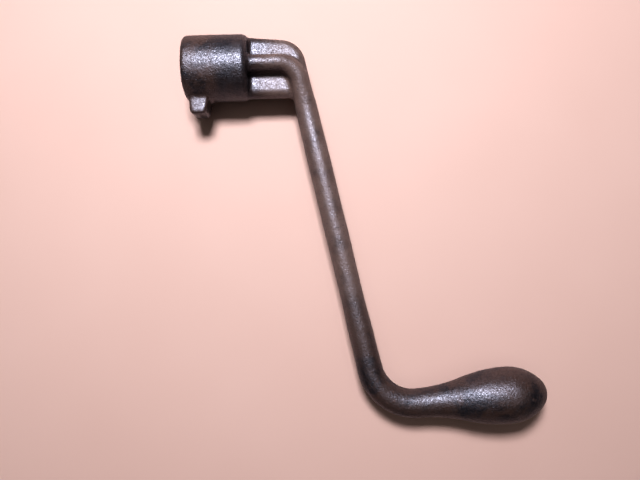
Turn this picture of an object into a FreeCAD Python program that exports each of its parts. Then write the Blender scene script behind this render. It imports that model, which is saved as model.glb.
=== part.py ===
import FreeCAD, Part
import math
import os
import Sketcher

# Cast crank-pattern lug wrench (socket wrench), in millimetres.
# Origin: centre of the socket mouth.  +X runs from the mouth along the socket axis into the tool,
# the crank arm runs towards -Y, and the crank plane is Z = 0.
# The whole tool is one casting; each body below is one named section of it, and the sections
# meet face to face.

doc = FreeCAD.newDocument("LugWrench")
V = FreeCAD.Vector

DIMS = [
    # socket head
    ("barrel_radius", 20.65, "outside radius of the socket head"),
    ("barrel_length", 36.5, "cylindrical length of the head"),
    ("mouth_round", 2.6, "rounding of the outer edge of the mouth"),
    ("lead_radius", 15.3, "radius of the round lead-in at the mouth"),
    ("lead_depth", 3.0, "depth of the round lead-in"),
    ("across_flats", 25.8, "hexagon across flats, for a 1 inch nut"),
    ("socket_depth", 29.0, "depth of the hexagon from the mouth"),
    ("collar_round", 4.0, "length and rounding of the closed end"),
    # spur beside the mouth
    ("spur_left", 2.3, "near side of the spur at its root"),
    ("spur_right", 16.0, "far side of the spur at its root"),
    ("spur_left_end", 3.1, "near side of the spur at its end"),
    ("spur_right_end", 13.4, "far side of the spur at its end"),
    ("spur_root", 16.0, "depth at which the spur starts inside the head"),
    ("spur_reach", 30.0, "reach of the spur from the socket axis"),
    ("spur_corner", 3.6, "corner radius of the spur's end"),
    ("spur_thick", 17.5, "thickness of the spur"),
    ("spur_round", 1.9, "rounding of the spur's long edges"),
    # ribbed neck
    ("web_half", 5.4, "half thickness of the neck's web"),
    ("web_edge", 5.3, "rounding of the web's outer edges"),
    ("web_outer", 19.5, "outer half width of the web at the head"),
    ("web_outer_end", 17.4, "outer half width of the web at the bend"),
    ("web_inner", 19.8, "inner half width of the web"),
    ("neck_end", 60.0, "where the neck ends and the bend starts"),
    ("rib_half", 4.9, "half width of the rib"),
    ("rib_height", 16.5, "height of the rib above the crank plane"),
    ("rib_foot", 2.4, "foot radius of the rib on the web"),
    # upper bend
    ("corner_x", 70.2, "where the arm's axis crosses the socket axis"),
    ("arm_tilt", 12.45, "lean of the arm away from square, degrees"),
    ("bend_outer", 16.0, "outer radius of the web round the bend"),
    ("bend_inner", 2.6, "inside corner between the neck and the arm"),
    ("elbow_drop", 27.0, "arm length that belongs to the upper bend"),
    ("arm_top_radius", 7.25, "arm radius at the upper bend"),
    ("elbow_half", 6.6, "half width of the web beside the arm"),
    # arm
    ("arm_axis_length", 223.7, "distance between the two axis corners"),
    ("arm_swell", 32.0, "length over which the arm swells at its top"),
    ("arm_radius", 7.5, "arm radius at the middle"),
    ("arm_run", 92.0, "length of even thickness"),
    ("arm_low_radius", 8.3, "arm radius at the lower bend"),
    # lower bend and grip
    ("low_bend", 29.0, "axis radius of the lower bend"),
    ("grip_rise", 4.0, "rise of the grip from parallel with the socket axis, degrees"),
    ("grip_neck", 9.2, "grip radius where it leaves the bend"),
    ("grip_radius", 17.9, "largest grip radius"),
    ("grip_swell", 58.0, "length over which the grip swells"),
    ("grip_cap", 24.8, "length of the rounded end of the grip"),
    ("grip_tip", 12.5, "radius of the very end of the grip"),
]

sheet = doc.addObject("Spreadsheet::Sheet", "dims")
for number, (alias, value, note) in enumerate(DIMS, start=1):
    sheet.set("A%d" % number, alias)
    sheet.set("B%d" % number, str(value))
    sheet.setAlias("B%d" % number, alias)
    sheet.set("C%d" % number, note)
doc.recompute()


def dim(alias):
    return float(sheet.get(alias))


def body_named(name):
    body = doc.addObject("PartDesign::Body", name)
    body.Label = name
    return body


def plane(body, role):
    for feature in body.Origin.OriginFeatures:
        if feature.Role == role:
            return feature
    raise RuntimeError("no plane " + role)


def sketch_on(body, role, name):
    sketch = body.newObject("Sketcher::SketchObject", name)
    sketch.AttachmentSupport = [(plane(body, role), "")]
    sketch.MapMode = "FlatFace"
    return sketch


def place(sketch, index, end, formula_x, formula_y):
    # Holds one point of a sketch element by formulas; a formula of None holds it on an axis.
    point = sketch.getPoint(index, end)
    for kind, formula, size, axis in (
        ("DistanceX", formula_x, point.x, -2),
        ("DistanceY", formula_y, point.y, -1),
    ):
        if formula is None:
            sketch.addConstraint(Sketcher.Constraint("PointOnObject", index, end, axis))
            continue
        number = sketch.addConstraint(Sketcher.Constraint(kind, -1, 1, index, end, size))
        sketch.setExpression("Constraints[%d]" % number, formula)


def close_loop(sketch, count):
    # Joins each element of the loop to the next one at the ends that already touch.
    for number in range(count):
        other = (number + 1) % count
        pairs = []
        for first in (1, 2):
            for second in (1, 2):
                gap = (sketch.getPoint(number, first) - sketch.getPoint(other, second)).Length
                pairs.append((gap, first, second))
        gap, first, second = min(pairs)
        if gap > 1e-4:
            raise RuntimeError(sketch.Label + ": open loop")
        sketch.addConstraint(Sketcher.Constraint("Coincident", number, first, other, second))


def line(sketch, first, last):
    return sketch.addGeometry(Part.LineSegment(V(first[0], first[1], 0), V(last[0], last[1], 0)), False)


def arc(sketch, centre, radius, start, end):
    # Counter-clockwise arc; the two directions are in degrees.
    circle = Part.Circle(V(centre[0], centre[1], 0), V(0, 0, 1), radius)
    piece = Part.ArcOfCircle(circle, math.radians(start), math.radians(end))
    return sketch.addGeometry(piece, False)


def outline(sketch, corners):
    # Closed loop of straight lines; corners are (x, y, formula x, formula y).
    count = len(corners)
    for number in range(count):
        line(sketch, corners[number][:2], corners[(number + 1) % count][:2])
    close_loop(sketch, count)
    for number, corner in enumerate(corners):
        place(sketch, number, 1, corner[2], corner[3])


def revolve(body, sketch, name):
    feature = body.newObject("PartDesign::Revolution", name)
    feature.Profile = sketch
    feature.ReferenceAxis = (sketch, ["H_Axis"])
    feature.Angle = 360.0
    return feature


def check_cut(body, before, name):
    doc.recompute()
    if body.Shape.Volume > before - 1.0:
        raise RuntimeError(name + " removed nothing")


def pocket_inward(body, sketch, name, formula):
    doc.recompute()
    before = body.Shape.Volume
    feature = body.newObject("PartDesign::Pocket", name)
    feature.Profile = sketch
    feature.Reversed = True
    feature.setExpression("Length", formula)
    check_cut(body, before, name)
    return feature


def groove(body, sketch, name):
    doc.recompute()
    before = body.Shape.Volume
    feature = body.newObject("PartDesign::Groove", name)
    feature.Profile = sketch
    feature.ReferenceAxis = (sketch, ["H_Axis"])
    feature.Angle = 360.0
    check_cut(body, before, name)
    return feature


def pad_midplane(body, sketch, name, formula):
    feature = body.newObject("PartDesign::Pad", name)
    feature.Profile = sketch
    feature.Midplane = True
    feature.setExpression("Length", formula)
    doc.recompute()
    return feature


def round_edges(body, base, name, wanted, formula):
    # Rounds those edges of the base feature for which wanted(edge) is true.
    doc.recompute()
    names = []
    for number, edge in enumerate(base.Shape.Edges, start=1):
        if wanted(edge):
            names.append("Edge%d" % number)
    feature = body.newObject("PartDesign::Fillet", name)
    feature.Base = (base, names)
    feature.setExpression("Radius", formula)
    doc.recompute()
    return feature


def circle_sketch(body, role, name, size, formula):
    sketch = sketch_on(body, role, name)
    sketch.addGeometry(Part.Circle(V(0, 0, 0), V(0, 0, 1), size), False)
    sketch.addConstraint(Sketcher.Constraint("Coincident", 0, 3, -1, 1))
    number = sketch.addConstraint(Sketcher.Constraint("Radius", 0, size))
    sketch.setExpression("Constraints[%d]" % number, formula)
    return sketch


def head_profile(body, name):
    # Half section of the head, from the mouth at x = 0 to the end of its cylinder.
    radius = dim("barrel_radius")
    length = dim("barrel_length")
    bow = dim("mouth_round")
    sketch = sketch_on(body, "XY_Plane", name)
    line(sketch, (0, 0), (length, 0))
    line(sketch, (length, 0), (length, radius))
    line(sketch, (length, radius), (bow, radius))
    arc(sketch, (bow, radius - bow), bow, 90, 180)
    line(sketch, (0, radius - bow), (0, 0))
    close_loop(sketch, 5)
    place(sketch, 0, 1, None, None)
    place(sketch, 0, 2, "dims.barrel_length", None)
    place(sketch, 1, 2, "dims.barrel_length", "dims.barrel_radius")
    place(sketch, 2, 2, "dims.mouth_round", "dims.barrel_radius")
    place(sketch, 4, 1, None, "dims.barrel_radius - dims.mouth_round")
    number = sketch.addConstraint(Sketcher.Constraint("DistanceX", -1, 1, 3, 3, bow))
    sketch.setExpression("Constraints[%d]" % number, "dims.mouth_round")
    return sketch


def collar_profile(body, name):
    # Half section of the closed end: full radius, rounded down to its flat end face.
    radius = dim("barrel_radius")
    start = dim("barrel_length")
    bow = dim("collar_round")
    sketch = sketch_on(body, "XY_Plane", name)
    line(sketch, (start, 0), (start, radius))
    arc(sketch, (start, radius - bow), bow, 0, 90)
    line(sketch, (start + bow, radius - bow), (start + bow, 0))
    line(sketch, (start + bow, 0), (start, 0))
    close_loop(sketch, 4)
    place(sketch, 0, 1, "dims.barrel_length", None)
    place(sketch, 0, 2, "dims.barrel_length", "dims.barrel_radius")
    place(sketch, 2, 1, "dims.barrel_length + dims.collar_round", "dims.barrel_radius - dims.collar_round")
    place(sketch, 2, 2, "dims.barrel_length + dims.collar_round", None)
    number = sketch.addConstraint(Sketcher.Constraint("DistanceX", -1, 1, 1, 3, start))
    sketch.setExpression("Constraints[%d]" % number, "dims.barrel_length")
    return sketch


def hexagon_sketch(body, name):
    # Regular hexagon held on a construction circle, with two corners in the crank plane.
    corner = dim("across_flats") / math.sqrt(3.0)
    sketch = sketch_on(body, "YZ_Plane", name)
    for number in range(6):
        turn = math.radians(60.0 * number)
        onward = math.radians(60.0 * (number + 1))
        first = (corner * math.cos(turn), corner * math.sin(turn))
        last = (corner * math.cos(onward), corner * math.sin(onward))
        line(sketch, first, last)
    ring = sketch.addGeometry(Part.Circle(V(0, 0, 0), V(0, 0, 1), corner), True)
    close_loop(sketch, 6)
    for number in range(6):
        sketch.addConstraint(Sketcher.Constraint("PointOnObject", number, 1, ring))
    for number in range(1, 6):
        sketch.addConstraint(Sketcher.Constraint("Equal", 0, number))
    sketch.addConstraint(Sketcher.Constraint("Coincident", ring, 3, -1, 1))
    sketch.addConstraint(Sketcher.Constraint("PointOnObject", 0, 1, -1))
    number = sketch.addConstraint(Sketcher.Constraint("Radius", ring, corner))
    sketch.setExpression("Constraints[%d]" % number, "dims.across_flats / sqrt(3)")
    return sketch


def socket_barrel():
    body = body_named("socket_barrel")
    revolve(body, head_profile(body, "head_profile"), "head")
    lead = circle_sketch(body, "YZ_Plane", "lead_in_circle", dim("lead_radius"), "dims.lead_radius")
    pocket_inward(body, lead, "lead_in", "dims.lead_depth")
    pocket_inward(body, hexagon_sketch(body, "socket_hexagon"), "hexagon", "dims.socket_depth")
    return body


def shoulder_collar():
    body = body_named("shoulder_collar")
    revolve(body, collar_profile(body, "collar_profile"), "collar")
    return body


def mouth_spur():
    body = body_named("mouth_spur")
    sketch = sketch_on(body, "XY_Plane", "spur_outline")
    root = dim("spur_root")
    reach = dim("spur_reach")
    outline(
        sketch,
        [
            (dim("spur_left"), -root, "dims.spur_left", "-dims.spur_root"),
            (dim("spur_right"), -root, "dims.spur_right", "-dims.spur_root"),
            (dim("spur_right_end"), -reach, "dims.spur_right_end", "-dims.spur_reach"),
            (dim("spur_left_end"), -reach, "dims.spur_left_end", "-dims.spur_reach"),
        ],
    )
    pad = pad_midplane(body, sketch, "spur_block", "dims.spur_thick")

    def upright_at_end(edge):
        return edge.BoundBox.ZLength > 1.0 and edge.BoundBox.YMax < -reach + 0.01

    def long_edge(edge):
        return edge.BoundBox.ZLength < 0.01 and edge.BoundBox.YMin < -root - 0.1

    corners = round_edges(body, pad, "spur_corners", upright_at_end, "dims.spur_corner")
    round_edges(body, corners, "spur_rounding", long_edge, "dims.spur_round")
    cutter = sketch_on(body, "XY_Plane", "head_section")
    radius = dim("barrel_radius")
    length = dim("barrel_length")
    outline(
        cutter,
        [
            (0.0, 0.0, None, None),
            (length, 0.0, "dims.barrel_length", None),
            (length, radius, "dims.barrel_length", "dims.barrel_radius"),
            (0.0, radius, None, "dims.barrel_radius"),
        ],
    )
    groove(body, cutter, "root_fit")
    return body


def neck_web():
    body = body_named("neck_web")
    sketch = sketch_on(body, "XY_Plane", "web_outline")
    start = dim("barrel_length")
    end = dim("neck_end")
    outline(
        sketch,
        [
            (start, -dim("web_inner"), "dims.barrel_length", "-dims.web_inner"),
            (end, -dim("web_inner"), "dims.neck_end", "-dims.web_inner"),
            (end, dim("web_outer_end"), "dims.neck_end", "dims.web_outer_end"),
            (start, dim("web_outer"), "dims.barrel_length", "dims.web_outer"),
        ],
    )
    pad = pad_midplane(body, sketch, "web_plate", "2 * dims.web_half")

    def long_edge(edge):
        return edge.BoundBox.ZLength < 0.01 and edge.BoundBox.XLength > 5.0

    round_edges(body, pad, "web_rounding", long_edge, "dims.web_edge")
    groove(body, collar_profile(body, "collar_section"), "collar_fit")
    return body


def rib_section(sketch, side):
    # Rib on one face of the web: rounded top, straight flanks, flared foot.  side is 1 or -1.
    half = dim("rib_half")
    foot = dim("rib_foot")
    low = side * dim("web_half")
    knee = low + side * foot
    top = side * (dim("rib_height") - half)
    turn = 0 if side > 0 else 180
    line(sketch, (half, knee), (half, top))
    arc(sketch, (0, top), half, turn, turn + 180)
    line(sketch, (-half, top), (-half, knee))
    start = 270 if side > 0 else 0
    arc(sketch, (-half - foot, knee), foot, start, start + 90)
    line(sketch, (-half - foot, low), (half + foot, low))
    start = 180 if side > 0 else 90
    arc(sketch, (half + foot, knee), foot, start, start + 90)
    close_loop(sketch, 6)
    sign = "" if side > 0 else "-"
    top_formula = sign + "(dims.rib_height - dims.rib_half)"
    knee_formula = sign + "(dims.web_half + dims.rib_foot)"
    foot_formula = "dims.rib_half + dims.rib_foot"
    place(sketch, 0, 1, "dims.rib_half", knee_formula)
    place(sketch, 0, 2, "dims.rib_half", top_formula)
    place(sketch, 2, 1, "-dims.rib_half", top_formula)
    place(sketch, 2, 2, "-dims.rib_half", knee_formula)
    place(sketch, 4, 1, "-(" + foot_formula + ")", sign + "dims.web_half")
    place(sketch, 4, 2, foot_formula, sign + "dims.web_half")
    for index, kind, formula, size in (
        (1, "DistanceY", top_formula, top),
        (3, "DistanceX", "-(" + foot_formula + ")", -half - foot),
        (5, "DistanceX", foot_formula, half + foot),
    ):
        number = sketch.addConstraint(Sketcher.Constraint(kind, -1, 1, index, 3, size))
        sketch.setExpression("Constraints[%d]" % number, formula)


def neck_rib(name, side):
    body = body_named(name)
    sketch = sketch_on(body, "YZ_Plane", name + "_section")
    sketch.setExpression("AttachmentOffset.Base.z", "dims.barrel_length + dims.collar_round")
    rib_section(sketch, side)
    pad = body.newObject("PartDesign::Pad", name + "_bar")
    pad.Profile = sketch
    pad.setExpression("Length", "dims.neck_end - dims.barrel_length - dims.collar_round")
    return body


def stadium_sketch(body, name, half_width, half_height, width_formula, height_formula):
    # Upright bar section, rounded at its top and bottom.
    sketch = sketch_on(body, "YZ_Plane", name)
    top = half_height - half_width
    line(sketch, (half_width, -top), (half_width, top))
    arc(sketch, (0, top), half_width, 0, 180)
    line(sketch, (-half_width, top), (-half_width, -top))
    arc(sketch, (0, -top), half_width, 180, 360)
    close_loop(sketch, 4)
    rise = "%s - %s" % (height_formula, width_formula)
    place(sketch, 0, 1, width_formula, "-(" + rise + ")")
    place(sketch, 0, 2, width_formula, rise)
    place(sketch, 2, 1, "-(" + width_formula + ")", rise)
    place(sketch, 2, 2, "-(" + width_formula + ")", "-(" + rise + ")")
    for index, formula, size in ((1, rise, top), (3, "-(" + rise + ")", -top)):
        number = sketch.addConstraint(Sketcher.Constraint("DistanceY", -1, 1, index, 3, size))
        sketch.setExpression("Constraints[%d]" % number, formula)
    return sketch


def arm_point(distance, offset):
    # Point beside the arm's axis: distance down the arm from its upper corner, offset to its outer side.
    lean = math.radians(dim("arm_tilt"))
    x = dim("corner_x") + distance * math.sin(lean) + offset * math.cos(lean)
    y = -distance * math.cos(lean) + offset * math.sin(lean)
    return x, y


def arm_formula(distance, offset):
    lean = "dims.arm_tilt * 1deg"
    x = "dims.corner_x + (%s) * sin(%s) + (%s) * cos(%s)" % (distance, lean, offset, lean)
    y = "(%s) * sin(%s) - (%s) * cos(%s)" % (offset, lean, distance, lean)
    return x, y


def hold_angle(sketch, index, formula):
    first = sketch.getPoint(index, 1)
    last = sketch.getPoint(index, 2)
    angle = math.atan2(last.y - first.y, last.x - first.x)
    number = sketch.addConstraint(Sketcher.Constraint("Angle", index, angle))
    sketch.setExpression("Constraints[%d]" % number, formula)


def elbow_web_sketch(body):
    # Web round the upper bend: straight on from the neck, then down both sides of the arm.
    sketch = sketch_on(body, "XY_Plane", "elbow_web_outline")
    end = dim("neck_end")
    outer = dim("web_outer_end")
    inner = dim("web_inner")
    side = dim("elbow_half")
    lean = math.radians(dim("arm_tilt"))
    slope = (dim("web_outer") - outer) / (end - dim("barrel_length"))
    base = arm_point(0.0, side)
    reach = (outer - slope * (base[0] - end) - base[1]) / (math.cos(lean) - slope * math.sin(lean))
    rise = (inner - side * math.sin(lean)) / math.cos(lean)
    corners = [
        (end, outer),
        arm_point(-reach, side),
        arm_point(dim("elbow_drop"), side),
        arm_point(dim("elbow_drop"), -side),
        arm_point(rise, -side),
        (end, -inner),
    ]
    for number in range(6):
        line(sketch, corners[number], corners[(number + 1) % 6])
    close_loop(sketch, 6)
    place(sketch, 0, 1, "dims.neck_end", "dims.web_outer_end")
    place(sketch, 2, 1, *arm_formula("dims.elbow_drop", "dims.elbow_half"))
    place(sketch, 3, 1, *arm_formula("dims.elbow_drop", "-dims.elbow_half"))
    place(sketch, 5, 1, "dims.neck_end", "-dims.web_inner")
    fall = "(dims.web_outer - dims.web_outer_end) / (dims.neck_end - dims.barrel_length)"
    hold_angle(sketch, 0, "-atan(" + fall + ")")
    hold_angle(sketch, 1, "(dims.arm_tilt - 90) * 1deg")
    hold_angle(sketch, 3, "(dims.arm_tilt + 90) * 1deg")
    sketch.addConstraint(Sketcher.Constraint("Horizontal", 4))
    return sketch, corners


def bend_spine(body, name, side, turn, turn_formula, radius, radius_formula, run, run_formula):
    # Axis of a bend in the body's XY plane: an arc from the sketch origin, then a straight run
    # tangent to it.  side is 1 for a bend towards +Y and -1 for one towards -Y; turn is in degrees.
    sketch = sketch_on(body, "XY_Plane", name)
    start = -90.0 if side > 0 else 90.0 - turn
    arc(sketch, (0.0, side * radius), radius, start, start + turn)
    first, last = (1, 2) if side > 0 else (2, 1)
    angle = math.radians(turn)
    end = (radius * math.sin(angle), side * radius * (1.0 - math.cos(angle)))
    line(sketch, end, (end[0] + run * math.cos(angle), end[1] + side * run * math.sin(angle)))
    place(sketch, 0, first, None, None)
    sketch.addConstraint(Sketcher.Constraint("PointOnObject", 0, 3, -2))
    number = sketch.addConstraint(Sketcher.Constraint("Radius", 0, radius))
    sketch.setExpression("Constraints[%d]" % number, radius_formula)
    sketch.addConstraint(Sketcher.Constraint("Tangent", 0, last, 1, 1))
    hold_angle(sketch, 1, "%d * (%s)" % (side, turn_formula))
    number = sketch.addConstraint(Sketcher.Constraint("Distance", 1, run))
    sketch.setExpression("Constraints[%d]" % number, run_formula)
    return sketch


def turn_section(sketch, side, turn, forms, along, across):
    # Sets a section square to the bend's axis at its far end.  The sketch's own axes are the body's
    # Y, Z and X, so it turns about its second axis.
    turn_formula, along_formula, across_formula = forms
    spin = FreeCAD.Rotation(V(0, side, 0), turn)
    sketch.AttachmentOffset = FreeCAD.Placement(V(across, 0, along), spin)
    sketch.setExpression("AttachmentOffset.Rotation.Angle", turn_formula)
    sketch.setExpression("AttachmentOffset.Base.z", along_formula)
    sketch.setExpression("AttachmentOffset.Base.x", across_formula)


def pipe(body, name, profile, section, spine, edges):
    feature = body.newObject("PartDesign::AdditivePipe", name)
    feature.Profile = profile
    feature.Spine = (spine, edges)
    feature.Transformation = "Multisection"
    feature.Sections = [section]
    doc.recompute()
    return feature


def upright_near(corner):
    def test(edge):
        box = edge.BoundBox
        near = abs(box.XMin - corner[0]) < 0.05 and abs(box.YMin - corner[1]) < 0.05
        return box.ZLength > 1.0 and near

    return test


def upper_elbow():
    # The web carries on round the bend, and the two ribs run together into one bar, the arm.
    body = body_named("upper_elbow")
    sketch, corners = elbow_web_sketch(body)
    plate = pad_midplane(body, sketch, "elbow_plate", "2 * dims.web_half")
    outer = round_edges(body, plate, "outer_bend", upright_near(corners[1]), "dims.bend_outer")
    inner = round_edges(body, outer, "inner_bend", upright_near(corners[4]), "dims.bend_inner")

    def rim(edge):
        box = edge.BoundBox
        at_neck = box.XLength < 0.01
        at_arm = box.YMax < corners[2][1] + 0.01
        return box.ZLength < 0.01 and not at_neck and not at_arm

    round_edges(body, inner, "elbow_rounding", rim, "dims.web_edge")
    turn = 90.0 - dim("arm_tilt")
    turn_formula = "(90 - dims.arm_tilt) * 1deg"
    run_in = dim("corner_x") - dim("neck_end")
    radius = run_in / math.tan(math.radians(turn / 2))
    radius_formula = "(dims.corner_x - dims.neck_end) / tan(%s / 2)" % turn_formula
    run = dim("elbow_drop") - run_in
    run_formula = "dims.elbow_drop - dims.corner_x + dims.neck_end"
    spine = bend_spine(
        body, "elbow_axis", -1, turn, turn_formula, radius, radius_formula, run, run_formula
    )
    spine.setExpression("AttachmentOffset.Base.x", "dims.neck_end")
    start = stadium_sketch(
        body, "elbow_start", dim("rib_half"), dim("rib_height"), "dims.rib_half", "dims.rib_height"
    )
    start.setExpression("AttachmentOffset.Base.z", "dims.neck_end")
    end = stadium_sketch(
        body, "elbow_end", dim("arm_top_radius"), dim("arm_top_radius") + 0.02,
        "dims.arm_top_radius", "(dims.arm_top_radius + 0.02)",
    )
    point = arm_point(dim("elbow_drop"), 0.0)
    formula_x, formula_y = arm_formula("dims.elbow_drop", "0")
    turn_section(end, -1, turn, (turn_formula, formula_x, formula_y), point[0], point[1])
    doc.recompute()
    pipe(body, "elbow_bar", start, end, spine, ["Edge1", "Edge2"])
    return body


def stand(body, point, forms, axis, angle, angle_formula):
    # Placement of a section drawn along its own X axis.
    body.Placement = FreeCAD.Placement(V(point[0], point[1], 0), FreeCAD.Rotation(V(0, 0, axis), angle))
    body.setExpression("Placement.Base.x", forms[0])
    body.setExpression("Placement.Base.y", forms[1])
    body.setExpression("Placement.Rotation.Angle", angle_formula)


LOW_TURN = "(90 - dims.arm_tilt + dims.grip_rise) * 1deg"
LOW_RUN = "(dims.low_bend * tan(%s / 2))" % LOW_TURN


def low_turn():
    return 90.0 - dim("arm_tilt") + dim("grip_rise")


def low_run():
    # Length of axis that the lower bend takes from each side of its corner.
    return dim("low_bend") * math.tan(math.radians(low_turn() / 2))


def crank_arm():
    # Round bar that swells a little from each bend; drawn along its own X axis.
    body = body_named("crank_arm")
    sketch = sketch_on(body, "XY_Plane", "arm_profile")
    swell = dim("arm_swell")
    even = swell + dim("arm_run")
    length = dim("arm_axis_length") - dim("elbow_drop") - low_run()
    length_formula = "dims.arm_axis_length - dims.elbow_drop - " + LOW_RUN
    outline(
        sketch,
        [
            (0.0, 0.0, None, None),
            (length, 0.0, length_formula, None),
            (length, dim("arm_low_radius"), length_formula, "dims.arm_low_radius"),
            (even, dim("arm_radius"), "dims.arm_swell + dims.arm_run", "dims.arm_radius"),
            (swell, dim("arm_radius"), "dims.arm_swell", "dims.arm_radius"),
            (0.0, dim("arm_top_radius"), None, "dims.arm_top_radius"),
        ],
    )
    revolve(body, sketch, "arm_bar")
    point = arm_point(dim("elbow_drop"), 0.0)
    forms = arm_formula("dims.elbow_drop", "0")
    stand(body, point, forms, -1, 90.0 - dim("arm_tilt"), "(90 - dims.arm_tilt) * 1deg")
    return body


def lower_elbow():
    # Bend from the arm into the grip, growing in thickness all the way.
    body = body_named("lower_elbow")
    turn = low_turn()
    radius = dim("low_bend")
    sketch = sketch_on(body, "XY_Plane", "low_axis")
    arc(sketch, (0.0, radius), radius, -90.0, -90.0 + turn)
    place(sketch, 0, 1, None, None)
    place(sketch, 0, 2, "dims.low_bend * sin(%s)" % LOW_TURN, "dims.low_bend * (1 - cos(%s))" % LOW_TURN)
    sketch.addConstraint(Sketcher.Constraint("PointOnObject", 0, 3, -2))
    start = circle_sketch(body, "YZ_Plane", "low_start", dim("arm_low_radius"), "dims.arm_low_radius")
    end = circle_sketch(body, "YZ_Plane", "low_end", dim("grip_neck"), "dims.grip_neck")
    along = radius * math.sin(math.radians(turn))
    across = radius * (1.0 - math.cos(math.radians(turn)))
    forms = (
        LOW_TURN,
        "dims.low_bend * sin(%s)" % LOW_TURN,
        "dims.low_bend * (1 - cos(%s))" % LOW_TURN,
    )
    turn_section(end, 1, turn, forms, along, across)
    doc.recompute()
    pipe(body, "low_bar", start, end, sketch, ["Edge1"])
    distance = dim("arm_axis_length") - low_run()
    point = arm_point(distance, 0.0)
    place_forms = arm_formula("dims.arm_axis_length - " + LOW_RUN, "0")
    stand(body, point, place_forms, -1, 90.0 - dim("arm_tilt"), "(90 - dims.arm_tilt) * 1deg")
    return body


def handle_grip():
    # Bulb turned along its own X axis: an S-shaped swell, then a blunt round end of two arcs.
    body = body_named("handle_grip")
    sketch = sketch_on(body, "XY_Plane", "grip_profile")
    neck = dim("grip_neck")
    full = dim("grip_radius")
    length = dim("grip_swell")
    cap = dim("grip_cap")
    tip = dim("grip_tip")
    rise = (full - neck) / 2.0
    curve = ((length / 2.0) ** 2 + rise**2) / (2.0 * rise)
    half = math.degrees(math.asin(length / 2.0 / curve))
    brow = (full**2 - tip**2 + (cap - tip) ** 2) / (2.0 * (full - tip))
    lean = math.degrees(math.asin((cap - tip) / (brow - tip)))
    line(sketch, (0, 0), (length + cap, 0))
    arc(sketch, (length + cap - tip, 0), tip, 0.0, 90.0 - lean)
    arc(sketch, (length, full - brow), brow, 90.0 - lean, 90.0)
    arc(sketch, (length, full - curve), curve, 90.0, 90.0 + half)
    arc(sketch, (0, neck + curve), curve, 270.0, 270.0 + half)
    line(sketch, (0, neck), (0, 0))
    sketch.addConstraint(Sketcher.Constraint("Coincident", 0, 2, 1, 1))
    sketch.addConstraint(Sketcher.Constraint("Tangent", 1, 2, 2, 1))
    sketch.addConstraint(Sketcher.Constraint("Coincident", 2, 2, 3, 1))
    sketch.addConstraint(Sketcher.Constraint("Coincident", 3, 2, 4, 2))
    sketch.addConstraint(Sketcher.Constraint("Coincident", 4, 1, 5, 1))
    sketch.addConstraint(Sketcher.Constraint("Coincident", 5, 2, 0, 1))
    place(sketch, 0, 1, None, None)
    place(sketch, 0, 2, "dims.grip_swell + dims.grip_cap", None)
    sketch.addConstraint(Sketcher.Constraint("PointOnObject", 1, 3, -1))
    number = sketch.addConstraint(Sketcher.Constraint("Radius", 1, tip))
    sketch.setExpression("Constraints[%d]" % number, "dims.grip_tip")
    place(sketch, 2, 2, "dims.grip_swell", "dims.grip_radius")
    place(sketch, 4, 1, None, "dims.grip_neck")
    place(sketch, 4, 2, "dims.grip_swell / 2", "(dims.grip_neck + dims.grip_radius) / 2")
    for index in (2, 3):
        number = sketch.addConstraint(Sketcher.Constraint("DistanceX", -1, 1, index, 3, length))
        sketch.setExpression("Constraints[%d]" % number, "dims.grip_swell")
    sketch.addConstraint(Sketcher.Constraint("PointOnObject", 4, 3, -2))
    revolve(body, sketch, "grip_bulb")
    rise_angle = math.radians(dim("grip_rise"))
    corner = arm_point(dim("arm_axis_length"), 0.0)
    point = (
        corner[0] + low_run() * math.cos(rise_angle),
        corner[1] + low_run() * math.sin(rise_angle),
    )
    forms = arm_formula("dims.arm_axis_length", "0")
    forms = (
        forms[0] + " + " + LOW_RUN + " * cos(dims.grip_rise * 1deg)",
        forms[1] + " + " + LOW_RUN + " * sin(dims.grip_rise * 1deg)",
    )
    stand(body, point, forms, 1, dim("grip_rise"), "dims.grip_rise * 1deg")
    return body


SECTIONS = [
    socket_barrel(),
    shoulder_collar(),
    mouth_spur(),
    neck_web(),
    neck_rib("neck_rib_upper", 1),
    neck_rib("neck_rib_lower", -1),
    upper_elbow(),
    crank_arm(),
    lower_elbow(),
    handle_grip(),
]

doc.recompute()
faults = [item.Name for item in doc.Objects if "Invalid" in item.State or "Error" in item.State]
if faults:
    raise RuntimeError("failed features: " + ", ".join(faults))
for section in SECTIONS:
    shape = section.Shape
    if shape.isNull() or not shape.isValid() or len(shape.Solids) != 1:
        raise RuntimeError(section.Label + " is not one valid solid")

os.makedirs("parts", exist_ok=True)
for section in SECTIONS:
    section.Shape.exportStep("parts/" + section.Label + ".step")
    box = section.Shape.BoundBox
    print(
        "%-16s %9.1f mm3  x %6.1f..%6.1f  y %7.1f..%6.1f  z %6.1f..%5.1f"
        % (section.Label, section.Shape.Volume, box.XMin, box.XMax, box.YMin, box.YMax, box.ZMin, box.ZMax)
    )
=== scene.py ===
"""Lug wrench: one iron casting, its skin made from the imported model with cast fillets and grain."""
import math

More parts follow.
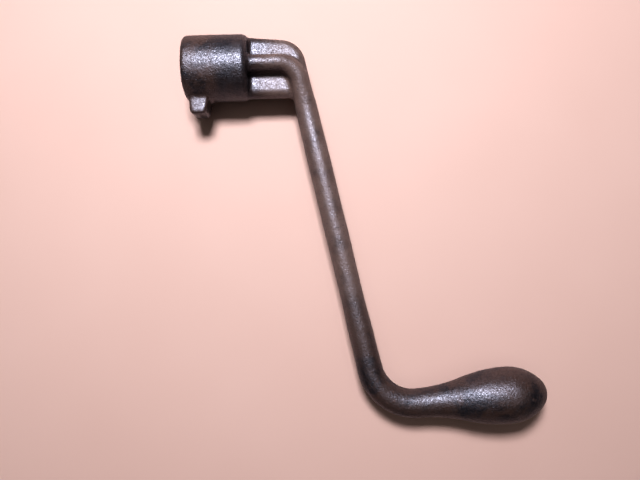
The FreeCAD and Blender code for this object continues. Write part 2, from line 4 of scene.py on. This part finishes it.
import bmesh
import bpy
import numpy as np
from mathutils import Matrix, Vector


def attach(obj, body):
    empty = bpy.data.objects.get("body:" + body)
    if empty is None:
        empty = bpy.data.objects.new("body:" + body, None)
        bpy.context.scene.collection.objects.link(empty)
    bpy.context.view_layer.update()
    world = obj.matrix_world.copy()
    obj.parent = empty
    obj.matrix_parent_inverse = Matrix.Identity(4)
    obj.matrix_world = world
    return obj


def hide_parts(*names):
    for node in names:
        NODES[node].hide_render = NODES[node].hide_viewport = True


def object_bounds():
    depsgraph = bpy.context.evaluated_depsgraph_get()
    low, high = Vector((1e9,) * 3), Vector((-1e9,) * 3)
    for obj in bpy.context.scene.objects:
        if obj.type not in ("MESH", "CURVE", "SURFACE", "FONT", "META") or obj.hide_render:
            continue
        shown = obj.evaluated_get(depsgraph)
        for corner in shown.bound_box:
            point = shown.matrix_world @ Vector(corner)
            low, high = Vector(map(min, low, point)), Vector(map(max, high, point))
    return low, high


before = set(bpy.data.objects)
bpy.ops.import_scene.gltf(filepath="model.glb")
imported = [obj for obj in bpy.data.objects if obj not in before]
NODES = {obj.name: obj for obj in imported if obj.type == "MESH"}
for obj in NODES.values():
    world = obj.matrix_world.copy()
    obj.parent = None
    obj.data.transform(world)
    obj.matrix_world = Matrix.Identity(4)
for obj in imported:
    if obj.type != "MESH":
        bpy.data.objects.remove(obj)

import openvdb as vdb
from mathutils import Matrix, Vector

CAD_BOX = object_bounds()
MM = 0.001

# The casting's sections, in model millimetres, and the tilts of the arm and the grip.
BARREL_LENGTH = 36.5
NECK_START = 40.5
NECK_END = 60.0
RIB_CUT = 8.2
SPUR_ROOT = -20.9
TILT = math.radians(12.45)
RISE = math.radians(4.0)
UPPER_CORNER = (70.2, 0.0)
ARM_LENGTH = 223.7
ARM_START = 27.0
ARM_END = 198.7
GRIP_START = 25.0

# The skin, in millimetres, but the band in voxels and the kernel's width in its own spreads.
VOXEL = 0.5
BAND = 9.0
FILLET = 2.0
SOFTEN = 0.55
KERNEL_WIDTH = 2.5
SOCKET_RADIUS = 17.2
SOCKET_FLOOR = 32.0
SOCKET_BLEND = 1.0
SKIN_INSET = 0.1
BOX_CLEARANCE = 0.02

# The bar of the upper bend, in millimetres down the arm from its corner or to each side.
CREST_LENGTH = 64
CREST_HALF = 2.5
ARM_HALF = 12
EASE = 5.0
EASE_REACH = 15
EASE_START = 8
EASE_RISE = 8
EASE_END = 52
EASE_FADE = 10

# The bench and the camera: places over the bench in millimetres, the fade and the bench in metres.
BARREL_RADIUS = 20.65
LEAN = math.radians(0.74)
ROLL = math.radians(1.27)
CAMERA_OVER = (82.9, -110.5)
CAMERA_HEIGHT = 378.0
LENS = 31.5
WALL = (1.0, 0.93, 0.91, 1)
WALL_GLOW = 0.6
FILL_GLOW = 0.03
FADE_START = 0.35
FADE_END = 1.5
BENCH_HALF = 4.0


# ---------------------------------------------------------------- surface from the model


def node_triangles(obj):
    """Corner points in millimetres and triangles of one part of the model."""
    mesh = obj.data
    mesh.calc_loop_triangles()
    points = np.empty(len(mesh.vertices) * 3, dtype=np.float32)
    mesh.vertices.foreach_get("co", points)
    corners = np.empty(len(mesh.loop_triangles) * 3, dtype=np.int32)
    mesh.loop_triangles.foreach_get("vertices", corners)
    return points.reshape(-1, 3) / MM, corners.reshape(-1, 3).astype(np.uint32)


def distance_field(points, triangles, low, shape):
    """Signed distance in millimetres on the shared grid."""
    transform = vdb.createLinearTransform(voxelSize=VOXEL)
    grid = vdb.FloatGrid.createLevelSetFromPolygons(
        np.ascontiguousarray(points, dtype=np.float32),
        triangles=np.ascontiguousarray(triangles, dtype=np.uint32),
        transform=transform,
        halfWidth=BAND,
    )
    values = np.full(shape, BAND * VOXEL, dtype=np.float32)
    grid.copyToArray(values, ijk=low)
    return values


def surface_of(field, low, level):
    """Points and quads of the field's surface at a level."""
    grid = vdb.FloatGrid(BAND * VOXEL)
    grid.copyFromArray(np.ascontiguousarray(field), ijk=low)
    grid.transform = vdb.createLinearTransform(voxelSize=VOXEL)
    return grid.convertToQuads(level)


def blur(field, spread):
    """Gaussian softening along the three axes, in millimetres."""
    steps = spread / VOXEL
    reach = int(math.ceil(steps * KERNEL_WIDTH))
    weights = np.exp(-0.5 * (np.arange(-reach, reach + 1) / steps) ** 2)
    weights = (weights / weights.sum()).astype(np.float32)
    for axis in range(3):
        size = field.shape[axis]
        total = np.zeros_like(field)
        for k, weight in zip(range(-reach, reach + 1), weights):
            source = np.clip(np.arange(size) + k, 0, size - 1)
            total += weight * np.take(field, source, axis=axis)
        field = total
    return field


def casting_field():
    """The whole casting as one distance field, its inside corners filled as a foundry fills them."""
    parts = [node_triangles(obj) for obj in NODES.values()]
    lowest = np.min([p.min(axis=0) for p, _ in parts], axis=0)
    highest = np.max([p.max(axis=0) for p, _ in parts], axis=0)
    margin = BAND + 4
    low = tuple(int(v) for v in np.floor(lowest / VOXEL - margin))
    high = np.ceil(highest / VOXEL + margin).astype(int)
    shape = tuple(int(v) for v in high - np.array(low) + 1)

    sharp = np.full(shape, BAND * VOXEL, dtype=np.float32)
    for points, triangles in parts:
        sharp = np.minimum(sharp, distance_field(points, triangles, low, shape))

    grown_points, quads = surface_of(sharp, low, FILLET)
    triangles = np.vstack([quads[:, (0, 1, 2)], quads[:, (0, 2, 3)]])
    filled = distance_field(grown_points, triangles, low, shape) + FILLET

    # The socket keeps its corners.
    x = (np.arange(shape[0]) + low[0]) * VOXEL
    y = (np.arange(shape[1]) + low[1]) * VOXEL
    z = (np.arange(shape[2]) + low[2]) * VOXEL
    radius = np.hypot(y[:, None], z[None, :])
    near_axis = np.clip((SOCKET_RADIUS + SOCKET_BLEND - radius) / SOCKET_BLEND, 0, 1)
    before_floor = np.clip((SOCKET_FLOOR + SOCKET_BLEND - x) / SOCKET_BLEND, 0, 1)
    keep = (before_floor[:, None, None] * near_axis[None]).astype(np.float32)
    return blur(sharp * keep + filled * (1 - keep), SOFTEN), low


# ---------------------------------------------------------------- cast irregularity


def lattice(points, cell, seed):
    """Smooth random field from -1 to 1, the same at every run, with features of one cell."""
    scaled = points / cell
    base = np.floor(scaled).astype(np.int64)
    part = scaled - base
    part = part * part * part * (part * (part * 6 - 15) + 10)
    total = np.zeros(len(points))
    for corner in range(8):
        shift = np.array([corner & 1, corner >> 1 & 1, corner >> 2 & 1])
        key = base + shift
        mixed = key[:, 0] * 73856093 ^ key[:, 1] * 19349663 ^ key[:, 2] * 83492791
        mixed = (mixed ^ seed * 2654435761) & 0xFFFFFFFF
        mixed = (mixed ^ mixed >> 15) * 2246822519 & 0xFFFFFFFF
        mixed = (mixed ^ mixed >> 13) * 3266489917 & 0xFFFFFFFF
        value = (mixed ^ mixed >> 16) / 0xFFFFFFFF * 2 - 1
        near = np.where(shift == 1, part, 1 - part)
        total += value * near.prod(axis=1)
    return total


def relief(points):
    """How far the skin stands off the smooth shape, in millimetres."""
    sway = lattice(points, 21.0, 3)
    lumps = lattice(points, 7.5, 7)
    dents = lattice(points, 3.4, 19)
    grain = lattice(points, 1.5, 11)
    pits = np.clip(lattice(points, 2.3, 29) - 0.45, 0, 1)
    inside = np.hypot(points[:, 1], points[:, 2]) < SOCKET_RADIUS
    calm = np.where(inside & (points[:, 0] < SOCKET_FLOOR), 0.35, 1.0)
    height = 0.14 * sway + 0.05 * lumps + 0.025 * dents + 0.03 * grain - 0.16 * pits
    return height * calm


def smooth_normals(points, quads):
    """Area-weighted normals of the closed skin."""
    diagonals = points[quads[:, 2]] - points[quads[:, 0]]
    others = points[quads[:, 3]] - points[quads[:, 1]]
    faces = np.cross(diagonals, others)
    normals = np.zeros_like(points)
    for k in range(4):
        np.add.at(normals, quads[:, k], faces)
    return normals / np.maximum(np.linalg.norm(normals, axis=1, keepdims=True), 1e-9)


def eased_bend(points):
    """Runs the tall bar of the bend smoothly down into the arm, as the real casting does."""
    way = np.array((math.sin(TILT), -math.cos(TILT)))
    from_corner = points[:, :2] - np.array(UPPER_CORNER)
    run = from_corner @ way
    aside = from_corner @ np.array((-way[1], way[0]))
    steps = np.arange(0, CREST_LENGTH)
    crest = (np.abs(aside) < CREST_HALF) & (run > 0) & (run < CREST_LENGTH)
    tops = np.array([points[crest & (run.astype(int) == k), 2].max() for k in steps])
    reach = np.arange(-EASE_REACH, EASE_REACH + 1)
    weights = np.exp(-0.5 * (reach / EASE) ** 2)
    padded = np.pad(tops, EASE_REACH, mode="edge")
    eased = np.convolve(padded, weights / weights.sum(), mode="valid")
    rising = np.clip((steps - EASE_START) / EASE_RISE, 0, 1)
    fading = np.clip((EASE_END - steps) / EASE_FADE, 0, 1)
    window = rising * fading
    factor = np.interp(run, steps + 0.5, 1 + window * (eased / tops - 1), left=1.0, right=1.0)
    on_arm = (run > 0) & (np.abs(aside) < ARM_HALF)
    points[:, 2] *= np.where(on_arm, factor, 1.0)
    return points


def casting_skin():
    """Points and quads of the finished skin in millimetres, outward facing."""
    field, low = casting_field()
    points, quads = surface_of(field, low, 0.0)
    points = eased_bend(points.astype(np.float64))
    quads = quads.astype(np.int64)
    normals = smooth_normals(points, quads)
    # The grip's tip shows whether the faces point outward.
    centre_of_grip = points[:, 0].max() - 20
    tip = points[:, 0] > centre_of_grip
    outward = (normals[tip, 0] * (points[tip, 0] - centre_of_grip)).sum()
    if outward < 0:
        quads = quads[:, ::-1]
        normals = -normals
    points += normals * (relief(points) - SKIN_INSET)[:, None]
    lowest = np.array(CAD_BOX[0]) / MM + BOX_CLEARANCE
    highest = np.array(CAD_BOX[1]) / MM - BOX_CLEARANCE
    return np.clip(points, lowest, highest), quads


# ---------------------------------------------------------------- the named sections


def along_arm(distance):
    """A point on the arm's centre line."""
    x, y = UPPER_CORNER
    return Vector((x + distance * math.sin(TILT), y - distance * math.cos(TILT), 0))


ARM_WAY = Vector((math.sin(TILT), -math.cos(TILT), 0))
GRIP_WAY = Vector((math.cos(RISE), math.sin(RISE), 0))
GRIP_ROOT = along_arm(ARM_LENGTH) + GRIP_WAY * GRIP_START
ALONG = Vector((1, 0, 0))
UP = Vector((0, 0, 1))


# Each cut parts one block of the casting in two: block, plane point, plane normal, far block.
CUTS = (
    ("socket_barrel", along_arm(ARM_START), ARM_WAY, "crank_arm"),
    ("socket_barrel", ALONG * NECK_END, ALONG, "upper_elbow"),
    ("socket_barrel", ALONG * NECK_START, ALONG, "neck_web"),
    ("socket_barrel", ALONG * BARREL_LENGTH, ALONG, "shoulder_collar"),
    ("socket_barrel", Vector((0, SPUR_ROOT, 0)), Vector((0, -1, 0)), "mouth_spur"),
    ("neck_web", UP * RIB_CUT, UP, "neck_rib_upper"),
    ("neck_web", UP * -RIB_CUT, UP * -1, "neck_rib_lower"),
    ("crank_arm", along_arm(ARM_END), ARM_WAY, "lower_elbow"),
    ("lower_elbow", GRIP_ROOT, GRIP_WAY, "handle_grip"),
)
SHADING = "whole_normal"


def whole_skin():
    """The uncut skin, with its shading normals kept on its points."""
    points, quads = casting_skin()
    mesh = bpy.data.meshes.new("skin")
    mesh.from_pydata(points.tolist(), [], quads.tolist())
    bm = bmesh.new()
    bm.from_mesh(mesh)
    bpy.data.meshes.remove(mesh)
    bm.normal_update()
    layer = bm.verts.layers.float_vector.new(SHADING)
    for v in bm.verts:
        v[layer] = v.normal
    return bm


def keep_side(bm, point, normal):
    """Removes what lies beyond a plane and closes the block with a flat face."""
    everything = list(bm.verts) + list(bm.edges) + list(bm.faces)
    cut = bmesh.ops.bisect_plane(
        bm, geom=everything, dist=1e-5, plane_co=point, plane_no=normal, clear_outer=True
    )
    rim = [e for e in cut["geom_cut"] if isinstance(e, bmesh.types.BMEdge) and e.is_boundary]
    filled = bmesh.ops.triangle_fill(bm, use_beauty=True, edges=rim, normal=normal)
    for face in filled["geom"]:
        if isinstance(face, bmesh.types.BMFace):
            face.normal_update()
            if face.normal.dot(normal) < 0:
                face.normal_flip()
    return bm


def section_blocks():
    """The casting parted into its named sections, each a closed block."""
    blocks = {"socket_barrel": whole_skin()}
    for near, point, normal, far in CUTS:
        beyond = blocks[near].copy()
        keep_side(blocks[near], point, normal)
        blocks[far] = keep_side(beyond, point, -normal)
    return blocks


def block_mesh(name, bm):
    """A mesh in metres, its shading carried over from the whole skin."""
    layer = bm.verts.layers.float_vector[SHADING]
    normals = [v[layer].normalized() for v in bm.verts]
    bmesh.ops.scale(bm, vec=(MM, MM, MM), verts=bm.verts)
    mesh = bpy.data.meshes.new(name)
    bm.to_mesh(mesh)
    bm.free()
    mesh.attributes.remove(mesh.attributes[SHADING])
    mesh.shade_smooth()
    mesh.normals_split_custom_set_from_vertices(normals)
    return mesh


def build_pieces():
    """One object for each section of the casting."""
    pieces = []
    for name, bm in section_blocks().items():
        obj = bpy.data.objects.new("cast_" + name, block_mesh("cast_" + name, bm))
        bpy.context.scene.collection.objects.link(obj)
        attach(obj, "root")
        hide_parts(name)
        pieces.append(obj)
    return pieces


# ---------------------------------------------------------------- old iron


class Tree:
    """Short calls for making a material's nodes."""

    def __init__(self, name):
        self.material = bpy.data.materials.new(name)
        self.material.use_nodes = True
        self.nodes = self.material.node_tree.nodes
        self.links = self.material.node_tree.links
        self.nodes.clear()
        self.place = self.nodes.new("ShaderNodeTexCoord").outputs["Object"]

    def join(self, source, socket):
        """Sets a socket to a plain value, or links another node's output to it."""
        if isinstance(source, (int, float, tuple)):
            socket.default_value = source
        else:
            self.links.new(source, socket)

    def noise(self, scale, detail=3.0, rough=0.55, warp=0.0):
        node = self.nodes.new("ShaderNodeTexNoise")
        self.join(self.place, node.inputs["Vector"])
        node.inputs["Scale"].default_value = scale
        node.inputs["Detail"].default_value = detail
        node.inputs["Roughness"].default_value = rough
        node.inputs["Distortion"].default_value = warp
        return node.outputs["Fac"]

    def axes(self):
        """The three model coordinates, in metres."""
        node = self.nodes.new("ShaderNodeSeparateXYZ")
        self.links.new(self.place, node.inputs[0])
        return node.outputs

    def pits(self, scale, core, rim):
        """Scattered round pits of unequal size, 1 in the middle and 0 outside."""
        node = self.nodes.new("ShaderNodeTexVoronoi")
        self.join(self.place, node.inputs["Vector"])
        node.inputs["Scale"].default_value = scale
        share = self.ramp(node.outputs["Color"], 0.35, 0.9, 0.0, 1.0)
        hole = self.ramp(node.outputs["Distance"], core, rim, 1.0, 0.0)
        return self.math("MULTIPLY", hole, share)

    def ramp(self, value, low, high, start=0.0, end=1.0):
        """A smooth step from start to end as the value goes from low to high."""
        node = self.nodes.new("ShaderNodeMapRange")
        node.interpolation_type = "SMOOTHSTEP"
        self.join(value, node.inputs["Value"])
        for key, number in zip(("From Min", "From Max", "To Min", "To Max"), (low, high, start, end)):
            node.inputs[key].default_value = number
        return node.outputs["Result"]

    def math(self, kind, first, second):
        node = self.nodes.new("ShaderNodeMath")
        node.operation = kind
        self.join(first, node.inputs[0])
        self.join(second, node.inputs[1])
        return node.outputs[0]

    def mix(self, factor, first, second):
        node = self.nodes.new("ShaderNodeMix")
        node.data_type = "RGBA"
        self.join(factor, node.inputs["Factor"])
        self.join(first, node.inputs["A"])
        self.join(second, node.inputs["B"])
        return node.outputs["Result"]

    def bump(self, height, strength, distance, under=None):
        node = self.nodes.new("ShaderNodeBump")
        self.join(strength, node.inputs["Strength"])
        node.inputs["Distance"].default_value = distance
        self.join(height, node.inputs["Height"])
        if under is not None:
            self.join(under, node.inputs["Normal"])
        return node.outputs["Normal"]


def old_iron():
    """Brown-black patina over cast iron: dustier on the arm, blacker at the socket's closed end."""
    t = Tree("old_cast_iron")
    black = (0.0065, 0.0050, 0.0062, 1)
    umber = (0.046, 0.0255, 0.0185, 1)
    rust = (0.095, 0.046, 0.028, 1)
    worn = (0.085, 0.060, 0.052, 1)
    dust = (0.128, 0.086, 0.071, 1)
    soot = (0.003, 0.0025, 0.003, 1)

    # Where the casting is dusty, and where it is made blacker towards the socket's closed end.
    x, y, _ = t.axes()
    on_arm = t.math("MULTIPLY", t.ramp(y, -0.200, -0.120), t.ramp(x, 0.040, 0.060))
    dusty = t.math("MULTIPLY", on_arm, t.ramp(t.noise(90, 3, 0.6), 0.25, 0.62, 0.45, 1.0))
    # The back of the barrel and the collar, next to the neck, are made blacker in patches than the
    # front.
    closed_end = t.math("MULTIPLY", t.ramp(x, 0.017, 0.025), t.ramp(x, 0.040, 0.047, 1.0, 0.0))
    blacker_band = t.math("MULTIPLY", closed_end, t.ramp(t.noise(110, 3, 0.6), 0.3, 0.6, 0.6, 1.0))

    # Where it is rubbed smooth: the inner web of the neck and the spur.
    inner_web = t.math("MULTIPLY", t.ramp(y, -0.005, -0.009), t.ramp(x, 0.040, 0.044))
    polished = t.math("MAXIMUM", inner_web, t.ramp(y, -0.0185, -0.0205))
    by_head = t.math("MULTIPLY", t.ramp(y, -0.040, -0.034), t.ramp(x, 0.061, 0.066, 1.0, 0.0))
    polished = t.math("MULTIPLY", polished, by_head)
    coarse = t.math("SUBTRACT", 1.0, t.math("MULTIPLY", polished, 0.5))

    # Mottling, rust, worn edges and pits.
    patches = t.ramp(t.noise(48, 4, 0.62, 0.4), 0.38, 0.58)
    flecks = t.ramp(t.noise(760, 2, 0.6), 0.47, 0.66)
    rust_specks = t.ramp(t.noise(310, 4, 0.7), 0.54, 0.72)
    rusting = t.math("MULTIPLY", rust_specks, t.ramp(t.noise(38, 3), 0.4, 0.6))
    point = t.nodes.new("ShaderNodeNewGeometry").outputs["Pointiness"]
    edge = t.math("MULTIPLY", t.ramp(point, 0.515, 0.56), t.ramp(t.noise(420, 3, 0.65), 0.3, 0.62))
    holes = t.math("MULTIPLY", t.pits(740, 0.06, 0.34), coarse)

    colour = t.mix(patches, black, umber)
    colour = t.mix(t.math("MULTIPLY", flecks, 0.6), colour, umber)
    colour = t.mix(t.math("MULTIPLY", rusting, 0.6), colour, rust)
    colour = t.mix(dusty, colour, dust)
    colour = t.mix(t.math("MULTIPLY", blacker_band, 0.8), colour, black)
    colour = t.mix(t.math("MULTIPLY", edge, 0.6), colour, worn)
    colour = t.mix(holes, colour, soot)

    rough = t.ramp(t.noise(55, 3, 0.5), 0.35, 0.65, 0.40, 0.47)
    rough = t.math("ADD", rough, t.ramp(t.noise(980, 2, 0.6), 0.38, 0.64, -0.07, 0.12))
    rough = t.math("ADD", rough, t.math("MULTIPLY", dusty, 0.05))
    rough = t.math("ADD", rough, t.math("MULTIPLY", holes, 0.3))
    rough = t.math("ADD", rough, t.math("MULTIPLY", rusting, 0.15))
    rough = t.math("SUBTRACT", rough, t.math("MULTIPLY", polished, 0.02))

    fine = t.bump(t.noise(1500, 2, 0.6), t.math("MULTIPLY", coarse, 0.6), 0.00018)
    cast = t.bump(t.noise(820, 2, 0.55), t.math("MULTIPLY", coarse, 0.55), 0.0004, fine)
    pitted = t.bump(t.math("SUBTRACT", 1.0, holes), 0.8, 0.00018, cast)

    shader = t.nodes.new("ShaderNodeBsdfPrincipled")
    t.join(colour, shader.inputs["Base Color"])
    t.join(rough, shader.inputs["Roughness"])
    t.join(pitted, shader.inputs["Normal"])
    shader.inputs["Metallic"].default_value = 0.0
    shader.inputs["IOR"].default_value = 1.9
    shader.inputs["Specular Tint"].default_value = (0.86, 0.86, 1.0, 1)
    output = t.nodes.new("ShaderNodeOutputMaterial")
    t.links.new(shader.outputs["BSDF"], output.inputs["Surface"])
    return t.material


# ---------------------------------------------------------------- bench, light and camera


def bench_frame():
    """From bench to model: the bench leans so that the barrel and the grip both touch it."""
    return Matrix.Rotation(-LEAN, 4, "X") @ Matrix.Translation((0, 0, -BARREL_RADIUS * MM))


def paper():
    """Pale, faintly pink paper with a painted glow that rises far from the object, so that it fades
    into the wall.
    """
    t = Tree("pale_paper")
    colour = t.mix(t.noise(9, 2), (0.53, 0.365, 0.315, 1), (0.56, 0.395, 0.345, 1))
    shader = t.nodes.new("ShaderNodeBsdfPrincipled")
    t.join(colour, shader.inputs["Base Color"])
    shader.inputs["Roughness"].default_value = 0.7
    # Painted light: the paper glows more the farther it lies from the object, in place of lamplight
    # on the far bench.
    span = t.nodes.new("ShaderNodeVectorMath")
    span.operation = "LENGTH"
    t.links.new(t.place, span.inputs[0])
    shader.inputs["Emission Color"].default_value = WALL
    painted_glow = t.ramp(span.outputs["Value"], FADE_START, FADE_END, 0.0, WALL_GLOW)
    t.join(painted_glow, shader.inputs["Emission Strength"])
    output = t.nodes.new("ShaderNodeOutputMaterial")
    t.links.new(shader.outputs["BSDF"], output.inputs["Surface"])
    return t.material


def add_bench(frame_matrix):
    """A wide flat bench top under the object."""
    mesh = bpy.data.meshes.new("bench")
    half = BENCH_HALF
    corners = [(-half, -half, 0), (half, -half, 0), (half, half, 0), (-half, half, 0)]
    mesh.from_pydata(corners, [], [(0, 1, 2, 3)])
    mesh.materials.append(paper())
    bench = bpy.data.objects.new("bench", mesh)
    bench.matrix_world = frame_matrix
    bpy.context.scene.collection.objects.link(bench)


def add_light(name, frame_matrix, at, aim, size, power, colour):
    """A soft rectangular light, placed and aimed in bench coordinates."""
    data = bpy.data.lights.new(name, "AREA")
    data.shape = "RECTANGLE"
    data.size, data.size_y = size
    data.energy = power
    data.color = colour
    light = bpy.data.objects.new(name, data)
    at, aim = Vector(at), Vector(aim)
    turn = (aim - at).to_track_quat("-Z", "Y").to_matrix().to_4x4()
    light.matrix_world = frame_matrix @ Matrix.Translation(at) @ turn
    bpy.context.scene.collection.objects.link(light)


def add_sky():
    """A pale studio wall to look at, which lights the object only faintly."""
    world = bpy.data.worlds.new("studio")
    world.use_nodes = True
    tree = world.node_tree
    backdrop = tree.nodes["Background"]
    backdrop.inputs["Color"].default_value = WALL
    seen = tree.nodes.new("ShaderNodeLightPath").outputs["Is Camera Ray"]
    strength = tree.nodes.new("ShaderNodeMapRange")
    strength.inputs["To Min"].default_value = FILL_GLOW
    strength.inputs["To Max"].default_value = WALL_GLOW
    tree.links.new(seen, strength.inputs["Value"])
    tree.links.new(strength.outputs["Result"], backdrop.inputs["Strength"])
    bpy.context.scene.world = world


def add_camera(frame_matrix):
    """The photograph's view, almost straight down on the bench."""
    data = bpy.data.cameras.new("camera")
    data.lens = LENS
    data.sensor_width = 36.0
    data.clip_start = 0.01
    camera = bpy.data.objects.new("camera", data)
    x, y = CAMERA_OVER
    stand = Matrix.Translation((x * MM, y * MM, CAMERA_HEIGHT * MM))
    camera.matrix_world = frame_matrix @ stand @ Matrix.Rotation(-ROLL, 4, "Z")
    bpy.context.scene.collection.objects.link(camera)
    bpy.context.scene.camera = camera


bpy.context.scene.view_settings.view_transform = "Standard"
bpy.context.scene.view_settings.look = "High Contrast"
pieces = build_pieces()
iron = old_iron()
for piece in pieces:
    piece.data.materials.append(iron)

on_bench = bench_frame()
add_bench(on_bench)
add_light(
    "window",
    on_bench,
    at=(0.03, 0.25, 0.72),
    aim=(0.08, -0.08, 0.0),
    size=(0.19, 0.16),
    power=8.3,
    colour=(0.93, 0.94, 1.0),
)
add_light(
    "ceiling",
    on_bench,
    at=(0.05, -0.05, 2.0),
    aim=(0.05, -0.05, 0.0),
    size=(2.2, 2.2),
    power=6.0,
    colour=(1.0, 0.98, 0.96),
)
add_sky()
add_camera(on_bench)

bpy.context.view_layer.update()
